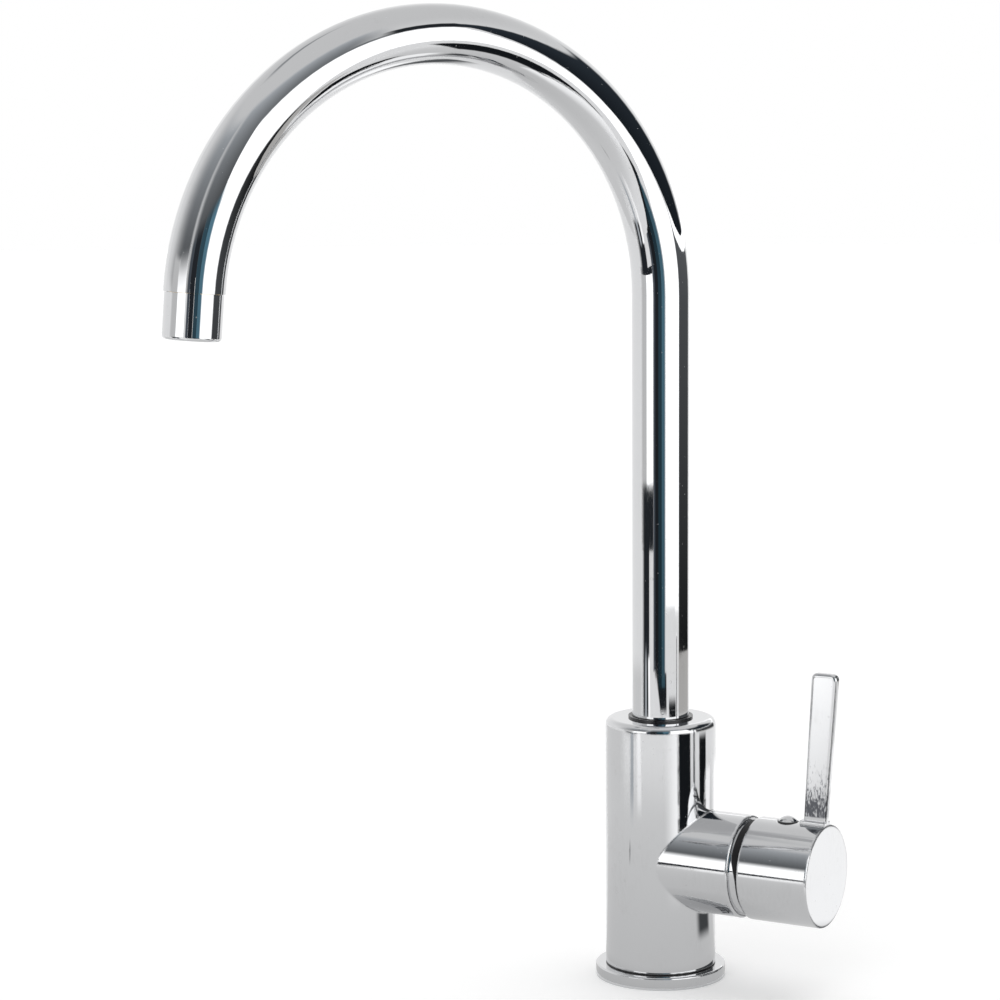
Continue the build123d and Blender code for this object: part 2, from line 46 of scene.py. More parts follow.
def coordinates(tree, kind="Object"):
    """Output of a Texture Coordinate node. The Object ones are in metres."""
    return node(tree, "ShaderNodeTexCoord").outputs[kind]


def split(tree, vector):
    """X, Y and Z of a vector, as three outputs."""
    return node(tree, "ShaderNodeSeparateXYZ", {0: vector}).outputs


def stretched(tree, vector, x, y, z):
    """Vector with each part scaled by its own amount."""
    return node(tree, "ShaderNodeVectorMath", {0: vector, 1: (x, y, z)}, operation="MULTIPLY").outputs[0]


def part_along(tree, vector, direction):
    """Dot product of two vectors: how far the first reaches along the second, which has length one."""
    made = node(tree, "ShaderNodeVectorMath", {0: vector, 1: direction}, operation="DOT_PRODUCT")
    return made.outputs["Value"]


def noise(tree, vector, per_metre, detail=2.0, roughness=0.5, distortion=0.0):
    """Value of a noise texture, from 0 to 1, at a scale in cycles per metre."""
    inputs = {"Vector": vector, "Scale": per_metre, "Detail": detail, "Roughness": roughness,
              "Distortion": distortion}
    return node(tree, "ShaderNodeTexNoise", inputs).outputs["Fac"]


def cells(tree, vector, per_metre):
    """Outputs of a Voronoi texture: Distance from each cell's middle, and a Color drawn for each cell."""
    return node(tree, "ShaderNodeTexVoronoi", {"Vector": vector, "Scale": per_metre}).outputs


def ramp(tree, value, low, high, to_low=0.0, to_high=1.0):
    """Smooth step of a value, from to_low at low to to_high at high."""
    inputs = {"Value": value, "From Min": low, "From Max": high, "To Min": to_low, "To Max": to_high}
    return node(tree, "ShaderNodeMapRange", inputs, interpolation_type="SMOOTHSTEP").outputs["Result"]


def between(tree, share, low, high):
    """Mix of two colours by a share that changes over the surface."""
    return node(tree, "ShaderNodeMix", {0: share, 6: low, 7: high}, data_type="RGBA").outputs[2]


def effect_group(name, inputs, outputs):
    """Shader node group with a Vector input, float inputs that have defaults, and outputs of given kinds."""
    tree = bpy.data.node_groups.new(name, "ShaderNodeTree")
    tree.interface.new_socket("Vector", in_out="INPUT", socket_type="NodeSocketVector")
    for socket, value in inputs.items():
        made = tree.interface.new_socket(socket, in_out="INPUT", socket_type="NodeSocketFloat")
        made.default_value = value
    for socket, kind in outputs.items():
        tree.interface.new_socket(socket, in_out="OUTPUT", socket_type=f"NodeSocket{kind}")
    return tree, tree.nodes.new("NodeGroupInput").outputs, tree.nodes.new("NodeGroupOutput").inputs


def place_group(tree, group, inputs):
    """Put a group into a material with this material's own values, and give its outputs."""
    return node(tree, "ShaderNodeGroup", inputs, node_tree=group).outputs


# Soft unevenness that buffing leaves, as a height in metres.
buffing, given, out = effect_group("buffing", {"Size": 0.014, "Height": 4e-6}, {"Height": "Float"})
per_metre = maths(buffing, "DIVIDE", 1.0, given["Size"])
swell = noise(buffing, given["Vector"], per_metre, detail=1.0)
buffing.links.new(maths(buffing, "MULTIPLY", swell, given["Height"]), out["Height"])

# Thin film of wiped water: a haze in patches, the rims of small dried drops, and specks of dust.
water_film, given, out = effect_group(
    "water_film", {"Patch size": 0.03, "Drop size": 0.0035, "Drops": 0.25, "Dust": 0.10},
    {"Haze": "Float", "Drops": "Float", "Dust": "Float"})
patches_per_metre = maths(water_film, "DIVIDE", 1.0, given["Patch size"])
patches = noise(water_film, given["Vector"], patches_per_metre, detail=4.0, roughness=0.6, distortion=0.4)
patches = ramp(water_film, patches, 0.42, 0.72)
smears_per_metre = 900.0
wiped_down = stretched(water_film, given["Vector"], 1.0, 1.0, 0.25)
smears = ramp(water_film, noise(water_film, wiped_down, smears_per_metre, detail=3.0), 0.3, 0.8)
water_film.links.new(maths(water_film, "MULTIPLY", patches, smears), out["Haze"])

# A drop's rim lies between these shares of a drop's size from its middle.
rim_inner = (0.14, 0.20)
rim_outer = (0.27, 0.21)
drops_per_metre = maths(water_film, "DIVIDE", 1.0, given["Drop size"])
drops = cells(water_film, given["Vector"], drops_per_metre)
rim = maths(water_film, "MULTIPLY", ramp(water_film, drops["Distance"], *rim_inner),
            ramp(water_film, drops["Distance"], *rim_outer))
drop_draw = node(water_film, "ShaderNodeSeparateColor", {0: drops["Color"]}).outputs[0]
dried = maths(water_film, "MULTIPLY", maths(water_film, "LESS_THAN", drop_draw, given["Drops"]), patches)
water_film.links.new(maths(water_film, "MULTIPLY", rim, dried), out["Drops"])

# Each speck has its own paleness.
specks_per_metre = 620.0
faintest = 0.15
palest = 0.7
specks = cells(water_film, given["Vector"], specks_per_metre)
speck_draws = node(water_film, "ShaderNodeSeparateColor", {0: specks["Color"]}).outputs
settled = maths(water_film, "LESS_THAN", speck_draws[0], given["Dust"])
speck = maths(water_film, "MULTIPLY", ramp(water_film, specks["Distance"], 0.21, 0.11), settled)
pale = ramp(water_film, speck_draws[1], 0.0, 1.0, faintest, palest)
water_film.links.new(maths(water_film, "MULTIPLY", speck, pale), out["Dust"])

# Edges, where the plating is thicker, the buffing wheel bites more and hands rub.
edge_wear, given, out = effect_group("edge_wear", {"Radius": 0.0006, "Gain": 6.0}, {"Edge": "Float"})
soft = node(edge_wear, "ShaderNodeBevel", {"Radius": given["Radius"]}, samples=4).outputs[0]
true = node(edge_wear, "ShaderNodeNewGeometry").outputs["Normal"]
unlike = maths(edge_wear, "SUBTRACT", 1.0, part_along(edge_wear, soft, true))
bend = node(edge_wear, "ShaderNodeClamp", {0: maths(edge_wear, "MULTIPLY", unlike, given["Gain"])}).outputs[0]
breaks_per_metre = 700.0
breaks = noise(edge_wear, given["Vector"], breaks_per_metre, detail=3.0)
breaks = ramp(edge_wear, breaks, 0.3, 0.7, to_low=0.35)
edge_wear.links.new(maths(edge_wear, "MULTIPLY", bend, breaks), out["Edge"])

CHROME = (0.635, 0.64, 0.65, 1)
DULL_CHROME = (0.55, 0.55, 0.555, 1)
DUST = (0.64, 0.65, 0.67, 1)
# Black of the shade painted into corners and gaps.
SHADE_BLACK = (0.012, 0.012, 0.013, 1)


def new_material(name, metallic):
    """Material with its tree, its shader and its coordinates."""
    material = bpy.data.materials.new(name)
    material.use_nodes = True
    tree = material.node_tree
    shader = tree.nodes["Principled BSDF"]
    shader.inputs["Metallic"].default_value = metallic
    return material, tree, shader, coordinates(tree)


def chrome_plate(name, hazed=0.05):
    """Chromed material with haze, drops and worn edges. hazed is the roughness that the haze adds. Gives its
    tree, shader, coordinates and film height too."""
    clean_roughness = 0.025
    drop_roughness = 0.12
    edge_roughness = 0.06
    haze_dulls = 0.35         # share of the way to dull chrome
    dust_covers = 0.6         # share of the metal that a speck hides
    drop_height = 1.5e-6      # metres
    material, tree, shader, place = new_material(name, metallic=1.0)
    film = place_group(tree, water_film, {"Vector": place})
    edge = place_group(tree, edge_wear, {"Vector": place})["Edge"]
    dulled = maths(tree, "MAXIMUM", maths(tree, "MULTIPLY", film["Haze"], haze_dulls), film["Drops"])
    plated = between(tree, dulled, CHROME, DULL_CHROME)
    tree.links.new(between(tree, film["Dust"], plated, DUST), shader.inputs["Base Color"])
    tree.links.new(maths(tree, "MULTIPLY_ADD", film["Dust"], -dust_covers, 1.0), shader.inputs["Metallic"])
    rough = maths(tree, "MULTIPLY_ADD", film["Haze"], hazed, clean_roughness)
    rough = maths(tree, "MULTIPLY_ADD", film["Drops"], drop_roughness, rough)
    rough = maths(tree, "MULTIPLY_ADD", edge, edge_roughness, rough)
    tree.links.new(rough, shader.inputs["Roughness"])
    return material, tree, shader, place, maths(tree, "MULTIPLY", film["Drops"], drop_height)


def bump(tree, shader, height, rounding=0.0):
    """Feed a height in metres to the shader's normal, over edges that buffing rounded by a radius."""
    made = node(tree, "ShaderNodeBump", {"Height": height, "Strength": 1.0, "Distance": 1.0})
    if rounding:
        rounded = node(tree, "ShaderNodeBevel", {"Radius": rounding}, samples=6).outputs[0]
        tree.links.new(rounded, made.inputs["Normal"])
    tree.links.new(made.outputs[0], shader.inputs["Normal"])


def paint_shade(tree, shader, shown):
    """Paint shade over the plating, dark and duller, where shown is one."""
    added_roughness = 0.35
    plated, metal, polished = (shader.inputs[key].links[0].from_socket
                               for key in ("Base Color", "Metallic", "Roughness"))
    bare = maths(tree, "SUBTRACT", 1.0, shown)
    tree.links.new(between(tree, shown, plated, SHADE_BLACK), shader.inputs["Base Color"])
    tree.links.new(maths(tree, "MULTIPLY", metal, bare), shader.inputs["Metallic"])
    tree.links.new(maths(tree, "MULTIPLY_ADD", shown, added_roughness, polished), shader.inputs["Roughness"])


def finish(cad_node, material):
    """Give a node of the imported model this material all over."""
    for material_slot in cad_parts[cad_node].material_slots:
        material_slot.material = material


buffed_chrome, tree, shader, place, film_height = chrome_plate("buffed_chrome")
waves = place_group(tree, buffing, {"Vector": place, "Size": 0.016, "Height": 7e-6})["Height"]
ripples = place_group(tree, buffing, {"Vector": place, "Size": 0.004, "Height": 5e-7})["Height"]
bump(tree, shader, maths(tree, "ADD", maths(tree, "ADD", waves, ripples), film_height), rounding=0.0012)

# Painted shade in the corner where the column meets the flange, as a thin uneven dark line. Heights above the
# worktop.
foot_shade_solid_up_to = 0.0061
foot_shade_ends = 0.0068
foot_shade_unevenness = 4e-4
foot_shade_lumps_per_metre = 500.0
height = split(tree, place)[2]
lumps = noise(tree, place, foot_shade_lumps_per_metre, detail=3.0)
uneven = maths(tree, "MULTIPLY_ADD", lumps, foot_shade_unevenness, height)
paint_shade(tree, shader, ramp(tree, uneven, foot_shade_ends, foot_shade_solid_up_to))
finish("tap_body", buffed_chrome)

# ---------------------------------------------------------------- base flange
# Turned brass ring, chromed, on the column's foot. The column clamps it down, and it hides the edge of
# the hole in the worktop. The lathe leaves very fine rings on it, which the plating softens.


def hypotenuse(tree, one, other):
    """Root of the sum of two squares."""
    squares = maths(tree, "ADD", maths(tree, "MULTIPLY", one, one), maths(tree, "MULTIPLY", other, other))
    return maths(tree, "POWER", squares, 0.5)


turned_rings, given, out = effect_group("turned_rings", {"Pitch": 0.0004, "Height": 2e-7},
                                        {"Height": "Float", "Rough": "Float"})
from_axis_x, from_axis_y, along_axis = split(turned_rings, given["Vector"])
radius = hypotenuse(turned_rings, from_axis_x, from_axis_y)
profile = node(turned_rings, "ShaderNodeCombineXYZ", {0: radius, 1: along_axis}).outputs[0]
rings_per_metre = maths(turned_rings, "DIVIDE", 1.0, given["Pitch"])
rings = noise(turned_rings, profile, rings_per_metre, detail=2.0, roughness=0.6)
turned_rings.links.new(maths(turned_rings, "MULTIPLY", rings, given["Height"]), out["Height"])
turned_rings.links.new(ramp(turned_rings, rings, 0.35, 0.75), out["Rough"])


def turned_chrome(name, origin=(0, 0, 0), axis=(0, 0, 1), rounding=0.0):
    """Chromed material with lathe rings round the given axis."""
    material, tree, shader, place, film_height = chrome_plate(name)
    turn = Vector(axis).to_track_quat("Z", "Y").to_matrix().to_4x4()
    back = (Matrix.Translation(origin) @ turn).inverted()
    local = node(tree, "ShaderNodeMapping", {"Vector": place, "Location": back.to_translation(),
                                             "Rotation": back.to_euler()}).outputs[0]
    rings = place_group(tree, turned_rings, {"Vector": local})["Height"]
    waves = place_group(tree, buffing, {"Vector": place, "Size": 0.02, "Height": 3e-6})["Height"]
    bump(tree, shader, maths(tree, "ADD", maths(tree, "ADD", waves, rings), film_height), rounding)
    return material


finish("base_flange", turned_chrome("flange_chrome"))

# ---------------------------------------------------------------- seals
# Black rubber rings, held in their grooves and seats by their own squeeze: the gasket under the flange,
# and the O-rings and washer inside. Moulded, with a faint grain and a bloom of grey dust on the rubber.

moulded_grain, given, out = effect_group("moulded_grain", {"Size": 0.0004, "Height": 4e-6},
                                         {"Height": "Float", "Mottle": "Float"})
grains_per_metre = maths(moulded_grain, "DIVIDE", 1.0, given["Size"])
grain = noise(moulded_grain, given["Vector"], grains_per_metre, detail=3.0, roughness=0.6)
mottles_per_metre = 120.0
mottle = noise(moulded_grain, given["Vector"], mottles_per_metre, detail=4.0, roughness=0.6)
moulded_grain.links.new(maths(moulded_grain, "MULTIPLY", grain, given["Height"]), out["Height"])
moulded_grain.links.new(ramp(moulded_grain, mottle, 0.3, 0.75), out["Mottle"])


def moulded(name, colour, mottled, roughness, grain_size=0.0004, grain_height=4e-6):
    """Moulded material over a fine grain. In patches its colour changes to the mottled one, and its
    roughness from the first to the second."""
    edge_radius = 0.0003
    edge_roughness = 0.08
    material, tree, shader, place = new_material(name, metallic=0.0)
    grain = place_group(tree, moulded_grain, {"Vector": place, "Size": grain_size, "Height": grain_height})
    tree.links.new(between(tree, grain["Mottle"], (*colour, 1), (*mottled, 1)), shader.inputs["Base Color"])
    edge = place_group(tree, edge_wear, {"Vector": place, "Radius": edge_radius})["Edge"]
    patchy = ramp(tree, grain["Mottle"], 0.0, 1.0, *roughness)
    tree.links.new(maths(tree, "MULTIPLY_ADD", edge, edge_roughness, patchy), shader.inputs["Roughness"])
    bump(tree, shader, grain["Height"])
    return material


rubber = moulded("rubber", (0.016, 0.016, 0.017), (0.035, 0.034, 0.033), roughness=(0.55, 0.75))
for seal in ("base_gasket", "spout_orings", "divider_oring", "outlet_seal", "port_seals", "guide_oring"):
    finish(seal, rubber)

# ---------------------------------------------------------------- bushes
# Bearing rings of hard black plastic, seated at the top and the foot of the spout's bore. The upper
# one's lip shows as a dark line under the spout.

bush_plastic = moulded("bush_plastic", (0.010, 0.010, 0.012), (0.022, 0.022, 0.024), roughness=(0.22, 0.34),
                       grain_size=0.0003, grain_height=2e-6)
finish("upper_bush", bush_plastic)
finish("lower_bush", bush_plastic)

# ---------------------------------------------------------------- steel pieces
# Ground stainless steel: the spout's retaining screw, the lever's grub screw, the pin that the stem
# tilts on, and the outlet's two screens. Plain metal with fine machining marks.


def machined(name, colour, stained, roughness, pitch=0.0003):
    """Bare machined metal, slightly stained in patches. Its fine marks range over the two roughnesses."""
    mark_height = 1e-6
    patch_size = 0.008
    drop_size = 0.002
    material, tree, shader, place = new_material(name, metallic=1.0)
    marks = place_group(tree, turned_rings, {"Vector": place, "Pitch": pitch, "Height": mark_height})
    film = place_group(tree, water_film, {"Vector": place, "Patch size": patch_size, "Drop size": drop_size})
    tree.links.new(between(tree, film["Haze"], (*colour, 1), (*stained, 1)), shader.inputs["Base Color"])
    tree.links.new(ramp(tree, marks["Rough"], 0.0, 1.0, *roughness), shader.inputs["Roughness"])
    bump(tree, shader, marks["Height"])
    return material


steel = machined("steel", (0.60, 0.59, 0.58), (0.48, 0.46, 0.44), roughness=(0.18, 0.34))
for steel_piece in ("spout_screw", "grub_screw", "tilt_pin", "aerator_screens"):
    finish(steel_piece, steel)

# ---------------------------------------------------------------- brass pieces
# Turned brass, not plated: the stub for filtered water, the cartridge's nut, the lever's stem and
# the threaded ring in the spout's end. It tarnishes to brown in patches.

brass = machined("brass", (0.80, 0.58, 0.28), (0.50, 0.33, 0.15), roughness=(0.16, 0.36), pitch=0.0005)
for brass_piece in ("core_stub", "cartridge_nut", "lever_stem", "outlet_adapter"):
    finish(brass_piece, brass)

# ---------------------------------------------------------------- cartridge
# Moulded plastic housing, base, guide and carrier round two lapped ceramic discs, which slide and
# turn on each other to mix hot and cold water, or let filtered water through. The nut clamps it.

white_plastic = moulded("white_plastic", (0.78, 0.78, 0.76), (0.70, 0.69, 0.66), roughness=(0.35, 0.48))
grey_plastic = moulded("grey_plastic", (0.30, 0.31, 0.33), (0.25, 0.26, 0.28), roughness=(0.32, 0.46))
ceramic = moulded("ceramic", (0.88, 0.87, 0.83), (0.83, 0.81, 0.76), roughness=(0.12, 0.22),
                  grain_size=0.0001, grain_height=4e-7)
for plastic_piece in ("cartridge_base", "disc_carrier", "stem_guide"):
    finish(plastic_piece, white_plastic)
finish("cartridge_housing", grey_plastic)
finish("fixed_disc", ceramic)
finish("moving_disc", ceramic)

# ---------------------------------------------------------------- domed ring
# Chromed ring pressed into the branch's mouth, round the lever's stem. It shows in the gap, where shade is
# painted dark on its outer half, and on nearly all of it at the top.

lever_azimuth = radians(-60.7)
branch_axis = Vector((cos(lever_azimuth), sin(lever_azimuth), 0))
branch_height = 0.0537
branch_place = Vector((0, 0, branch_height))
ring_chrome = turned_chrome("ring_chrome", branch_place, branch_axis)
tree = ring_chrome.node_tree
shader = tree.nodes["Principled BSDF"]
place = coordinates(tree)

# The painted shade begins this far along the branch from the column's axis. Between the two heights above the
# worktop its edge moves nearer.
ring_shade_begins = 0.0459
ring_shade_solid = 0.0463
nearer_at_top = 0.0024
side_heights = (0.050, 0.064)
ring_shade_unevenness = 2e-4
ring_shade_lumps_per_metre = 900.0
more_at_top = ramp(tree, split(tree, place)[2], *side_heights, 0.0, nearer_at_top)
reach = maths(tree, "ADD", part_along(tree, place, branch_axis), more_at_top)
lumps = noise(tree, place, ring_shade_lumps_per_metre, detail=2.0)
ring_shaded = maths(tree, "MULTIPLY_ADD", lumps, ring_shade_unevenness, reach)
paint_shade(tree, shader, ramp(tree, ring_shaded, ring_shade_begins, ring_shade_solid))
shader.inputs["Specular IOR Level"].default_value = 0.2
finish("dome_ring", ring_chrome)

# ---------------------------------------------------------------- spout
# Brass tube drawn, bent round a former to a swan neck, buffed along its length and chromed. Its foot is
# a turned spigot, with a low collar that shows above the bearing ring. The screw at the back holds it in.

neck_radius = 0.1115
neck_centre_height = 0.3029

# Coordinates that follow the tube: outward from its bend, across, and along its length.
along_neck, given, out = effect_group(
    "along_neck", {"Bend radius": neck_radius, "Bend height": neck_centre_height}, {"Place": "Vector"})
toward_riser, sideways, up = split(along_neck, given["Vector"])
from_centre = maths(along_neck, "ADD", toward_riser, given["Bend radius"])
above = maths(along_neck, "MAXIMUM", maths(along_neck, "SUBTRACT", up, given["Bend height"]), 0.0)
left = maths(along_neck, "LESS_THAN", from_centre, 0.0)
bent = maths(along_neck, "MAXIMUM", maths(along_neck, "GREATER_THAN", above, 0.0), left)
turned = maths(along_neck, "MULTIPLY", maths(along_neck, "ARCTAN2", above, from_centre), bent)
risen = maths(along_neck, "MINIMUM", up, given["Bend height"])
length = maths(along_neck, "MULTIPLY_ADD", turned, given["Bend radius"], risen)
outside = maths(along_neck, "SUBTRACT", hypotenuse(along_neck, from_centre, above), given["Bend radius"])
followed = node(along_neck, "ShaderNodeCombineXYZ", {0: outside, 1: sideways, 2: length}).outputs[0]
along_neck.links.new(followed, out["Place"])

neck_chrome, tree, shader, place, film_height = chrome_plate("neck_chrome")
neck = place_group(tree, along_neck, {"Vector": place})["Place"]
draw_lines_per_metre = 900.0
draw_line_height = 4e-7
draw_lines = noise(tree, stretched(tree, neck, 1.0, 1.0, 0.012), draw_lines_per_metre, detail=3.0,
                   roughness=0.6)
swell = place_group(tree, buffing, {"Vector": stretched(tree, neck, 1.0, 1.0, 0.3), "Size": 0.009,
                                    "Height": 4e-6})["Height"]
height = maths(tree, "MULTIPLY_ADD", draw_lines, draw_line_height, swell)
bump(tree, shader, maths(tree, "ADD", height, film_height))
finish("spout_tube", neck_chrome)
finish("spout_spigot", turned_chrome("spigot_chrome"))

# ---------------------------------------------------------------- filtered water path
# Plastic tube of its own inside the spout, plugged into a ribbed divider that also lets the mixed
# water past, so that the two never meet.

tube_plastic = moulded("tube_plastic", (0.20, 0.36, 0.60), (0.24, 0.40, 0.63), roughness=(0.16, 0.26),
                       grain_size=0.001, grain_height=1e-6)
finish("flow_divider", white_plastic)
finish("filtered_tube", tube_plastic)

# ---------------------------------------------------------------- outlet
# Chromed sleeve screwed on the spout's end, over a plastic insert with a ring of holes and two
# screens for mixed water, round a centre nozzle for filtered water.

outlet_turn = radians(175)    # that the neck bends through
outlet_axis = Vector((-sin(outlet_turn), 0, cos(outlet_turn)))
outlet_place = Vector((-neck_radius * (1 - cos(outlet_turn)), 0,
                       neck_centre_height + neck_radius * sin(outlet_turn)))
finish("outlet_sleeve", turned_chrome("sleeve_chrome", outlet_place, outlet_axis))
finish("outlet_insert", grey_plastic)
finish("filtered_nozzle", grey_plastic)

# ---------------------------------------------------------------- lever
# Hollow chromed cap, fixed to the stem's square by a grub screw under a small domed plug, with a
# flat bar on its crown that the hand moves. The cap is turned, and the bar is buffed up and down.

finish("handle_cap", turned_chrome("cap_chrome", branch_place, branch_axis, rounding=0.0012))

blade_chrome, tree, shader, place, film_height = chrome_plate("blade_chrome", hazed=0.09)
strokes_per_metre = 1500.0
stroke_height = 3e-7
strokes = noise(tree, stretched(tree, place, 1.0, 1.0, 0.04), strokes_per_metre, detail=3.0, roughness=0.6)
waves = place_group(tree, buffing, {"Vector": place, "Size": 0.008, "Height": 2e-6})["Height"]
strokes = maths(tree, "MULTIPLY_ADD", strokes, stroke_height, waves)
bump(tree, shader, maths(tree, "ADD", strokes, film_height), rounding=0.0008)

# Painted dark reflection near the bar's foot, drawn as dried splashes: dark and close together on its front
# face and faint behind. The first five are heights above the worktop at rest.
closest_below = 0.083
no_closer_above = 0.097
strongest_below = 0.092
none_above = 0.108
bar_foot = (0.0792, 0.0802)
front_half = (0.0008, 0.0016)     # from the bar's middle
closer_at_foot = 0.2
faint = 0.3
dark = 0.85
DARK_REFLECTION = (0.03, 0.035, 0.05, 1)
reflection_spots_per_metre = 1300.0
up_the_bar = split(tree, place)[2]
through_bar = part_along(tree, place, branch_axis.cross(Vector((0, 0, 1))))
near_foot = ramp(tree, up_the_bar, no_closer_above, closest_below)
run_down = stretched(tree, place, 1.0, 1.0, 0.3)
reflection_spots = noise(tree, run_down, reflection_spots_per_metre, detail=4.0, roughness=0.65)
reflection_spots = maths(tree, "MULTIPLY_ADD", near_foot, closer_at_foot, reflection_spots)
fading = ramp(tree, up_the_bar, none_above, strongest_below)
reflection_spots = maths(tree, "MULTIPLY", ramp(tree, reflection_spots, 0.53, 0.70), fading)
reflection_spots = maths(tree, "MULTIPLY", reflection_spots, ramp(tree, up_the_bar, *bar_foot))
strength = ramp(tree, through_bar, *front_half, faint, dark)
plated = shader.inputs["Base Color"].links[0].from_socket
reflection_painted = between(tree, maths(tree, "MULTIPLY", reflection_spots, strength), plated, DARK_REFLECTION)
tree.links.new(reflection_painted, shader.inputs["Base Color"])
finish("lever_blade", blade_chrome)

# The plug, with a dark line of painted shade round its rim. Radii from its own upright axis.
plug_along_branch = 0.0619
plug_unshaded_radius = 0.0040
rim_radius = 0.0043
plug_place = branch_place + branch_axis * plug_along_branch
plug_chrome = turned_chrome("plug_chrome", plug_place)
tree = plug_chrome.node_tree
flat = stretched(tree, coordinates(tree), 1.0, 1.0, 0.0)
from_axis = node(tree, "ShaderNodeVectorMath", {0: flat, 1: (plug_place.x, plug_place.y, 0.0)},
                 operation="DISTANCE").outputs["Value"]
paint_shade(tree, tree.nodes["Principled BSDF"], ramp(tree, from_axis, plug_unshaded_radius, rim_radius))
finish("indicator_plug", plug_chrome)

# ---------------------------------------------------------------- floor and backdrop
# White paper sheet under the tap, which runs into a white background. It keeps the tap's shadow,
# and the metal reflects it as it is.

paper_radius = 6.0
fibres_per_metre = 300.0
DARK_FIBRE = (0.92, 0.92, 0.92, 1)
PALE_FIBRE = (0.94, 0.94, 0.94, 1)
paper_glow = 0.17             # lifts the lit paper to the background's white
bpy.ops.mesh.primitive_circle_add(vertices=96, radius=paper_radius, fill_type="NGON")
floor = bpy.context.object
floor.name = "floor"
paper, tree, shader, place = new_material("paper", metallic=0.0)
shader.inputs["Roughness"].default_value = 0.9
shader.inputs["Specular IOR Level"].default_value = 0.0
fibres = between(tree, noise(tree, place, fibres_per_metre, detail=4.0), DARK_FIBRE, PALE_FIBRE)
tree.links.new(fibres, shader.inputs["Base Color"])


def seen_as_backdrop(tree):
    """One for the rays that show the background itself, in view, in metal or through glass."""
    light_path = node(tree, "ShaderNodeLightPath").outputs
    mirrored = maths(tree, "MAXIMUM", light_path["Is Glossy Ray"], light_path["Is Transmission Ray"])
    return maths(tree, "MAXIMUM", light_path["Is Camera Ray"], mirrored)


shader.inputs["Emission Color"].default_value = (1, 1, 1, 1)
glow = maths(tree, "MULTIPLY", seen_as_backdrop(tree), paper_glow)
tree.links.new(glow, shader.inputs["Emission Strength"])
floor.data.materials.append(paper)

# The room is white in view. As light on the tap it is dimmer, and the metal sees it shade off overhead.
fill_light = 0.6
low_ceiling = 1.04
high_ceiling = 0.80
world = bpy.data.worlds.new("white_room")
bpy.context.scene.world = world
world.use_nodes = True
background = world.node_tree.nodes["Background"]
background.inputs["Color"].default_value = (1, 1, 1, 1)
tree = world.node_tree
aloft = split(tree, coordinates(tree, "Generated"))[2]
ceiling = ramp(tree, aloft, 0.25, 0.85, low_ceiling, high_ceiling)
mirrored = node(tree, "ShaderNodeLightPath").outputs["Is Glossy Ray"]
plain = maths(tree, "MULTIPLY_ADD", seen_as_backdrop(tree), 1 - fill_light, fill_light)
not_mirrored = maths(tree, "SUBTRACT", 1.0, mirrored)
ceiling_or_plain = maths(tree, "ADD", maths(tree, "MULTIPLY", mirrored, ceiling),
                         maths(tree, "MULTIPLY", not_mirrored, plain))
tree.links.new(ceiling_or_plain, background.inputs["Strength"])

# ---------------------------------------------------------------- studio
# Two very wide soft lamps light the tap, from above and from the front left. Round it stand the soft
# boxes, white boards and dark cloths that polished metal needs to show its form. Only the metal sees those.

for name, strength, width, spot in (("high_lamp", 0.85, 60, (0.25, 0.1, 1.0)),
                                    ("left_lamp", 0.45, 45, (-0.9, -0.6, 0.8))):
    lamp = bpy.data.lights.new(name, "SUN")
    lamp.energy = strength
    lamp.angle = radians(width)
    lamp_object = bpy.data.objects.new(name, lamp)
    lamp_object.rotation_euler = Vector(spot).to_track_quat("Z", "Y").to_euler()
    lamp_object.visible_camera = lamp_object.visible_glossy = False
    bpy.context.scene.collection.objects.link(lamp_object)

toward_camera = -124.2        # degrees from +X, seen from above


def card(name, place, colour, glow, soft=(0, 0, 0, 0)):
    """Glowing sheet with soft edges. place gives the point at a share across it and a share up it. glow is
    one strength, or a low and a high one. soft is the share that fades at its left, right, low and high
    edge, of which a laid card's low edge is its near one."""
    across = 24
    up = 6
    mesh = bmesh.new()
    layer = mesh.loops.layers.uv.new("UVMap")
    grid = [[mesh.verts.new(place(i / across, j / up)) for j in range(up + 1)] for i in range(across + 1)]
    for i in range(across):
        for j in range(up):
            face = mesh.faces.new((grid[i][j], grid[i + 1][j], grid[i + 1][j + 1], grid[i][j + 1]))
            for loop, (right, above) in zip(face.loops, ((i, j), (i + 1, j), (i + 1, j + 1), (i, j + 1))):
                loop[layer].uv = (right / across, above / up)
    data = bpy.data.meshes.new(name)
    mesh.to_mesh(data)
    mesh.free()
    cloth = bpy.data.materials.new(name)
    cloth.use_nodes = True
    tree = cloth.node_tree
    tree.nodes.remove(tree.nodes["Principled BSDF"])
    share = split(tree, coordinates(tree, "UV"))
    low_glow, high_glow = glow if isinstance(glow, tuple) else (glow, glow)
    strength = maths(tree, "MULTIPLY_ADD", share[1], high_glow - low_glow, low_glow)
    shining = node(tree, "ShaderNodeEmission", {"Color": (*colour, 1), "Strength": strength})
    shown = 1.0
    for place_along, (low, high) in ((share[0], soft[:2]), (share[1], soft[2:])):
        if low:
            shown = maths(tree, "MULTIPLY", shown, ramp(tree, place_along, 0.0, low))
        if high:
            shown = maths(tree, "MULTIPLY", shown, ramp(tree, place_along, 1.0, 1.0 - high))
    clear = tree.nodes.new("ShaderNodeBsdfTransparent")
    mixed = node(tree, "ShaderNodeMixShader", {0: shown, 1: clear.outputs[0], 2: shining.outputs[0]})
    tree.links.new(mixed.outputs[0], tree.nodes["Material Output"].inputs["Surface"])
    data.materials.append(cloth)
    sheet = bpy.data.objects.new(name, data)
    sheet.visible_camera = sheet.visible_diffuse = sheet.visible_shadow = sheet.visible_transmission = False
    bpy.context.scene.collection.objects.link(sheet)


def around(angle, distance, height):
    """Point at an angle to the right of the camera's direction, seen from the tap."""
    turn = radians(toward_camera + angle)
    return Vector((cos(turn) * distance, sin(turn) * distance, height))


def standing_card(name, angles, distance, heights, **looks):
    """Curved card that stands round the tap, between two angles and two heights."""
    def place(across, up):
        angle = angles[0] + (angles[1] - angles[0]) * across
        return around(angle, distance, heights[0] + (heights[1] - heights[0]) * up)
    card(name, place, **looks)


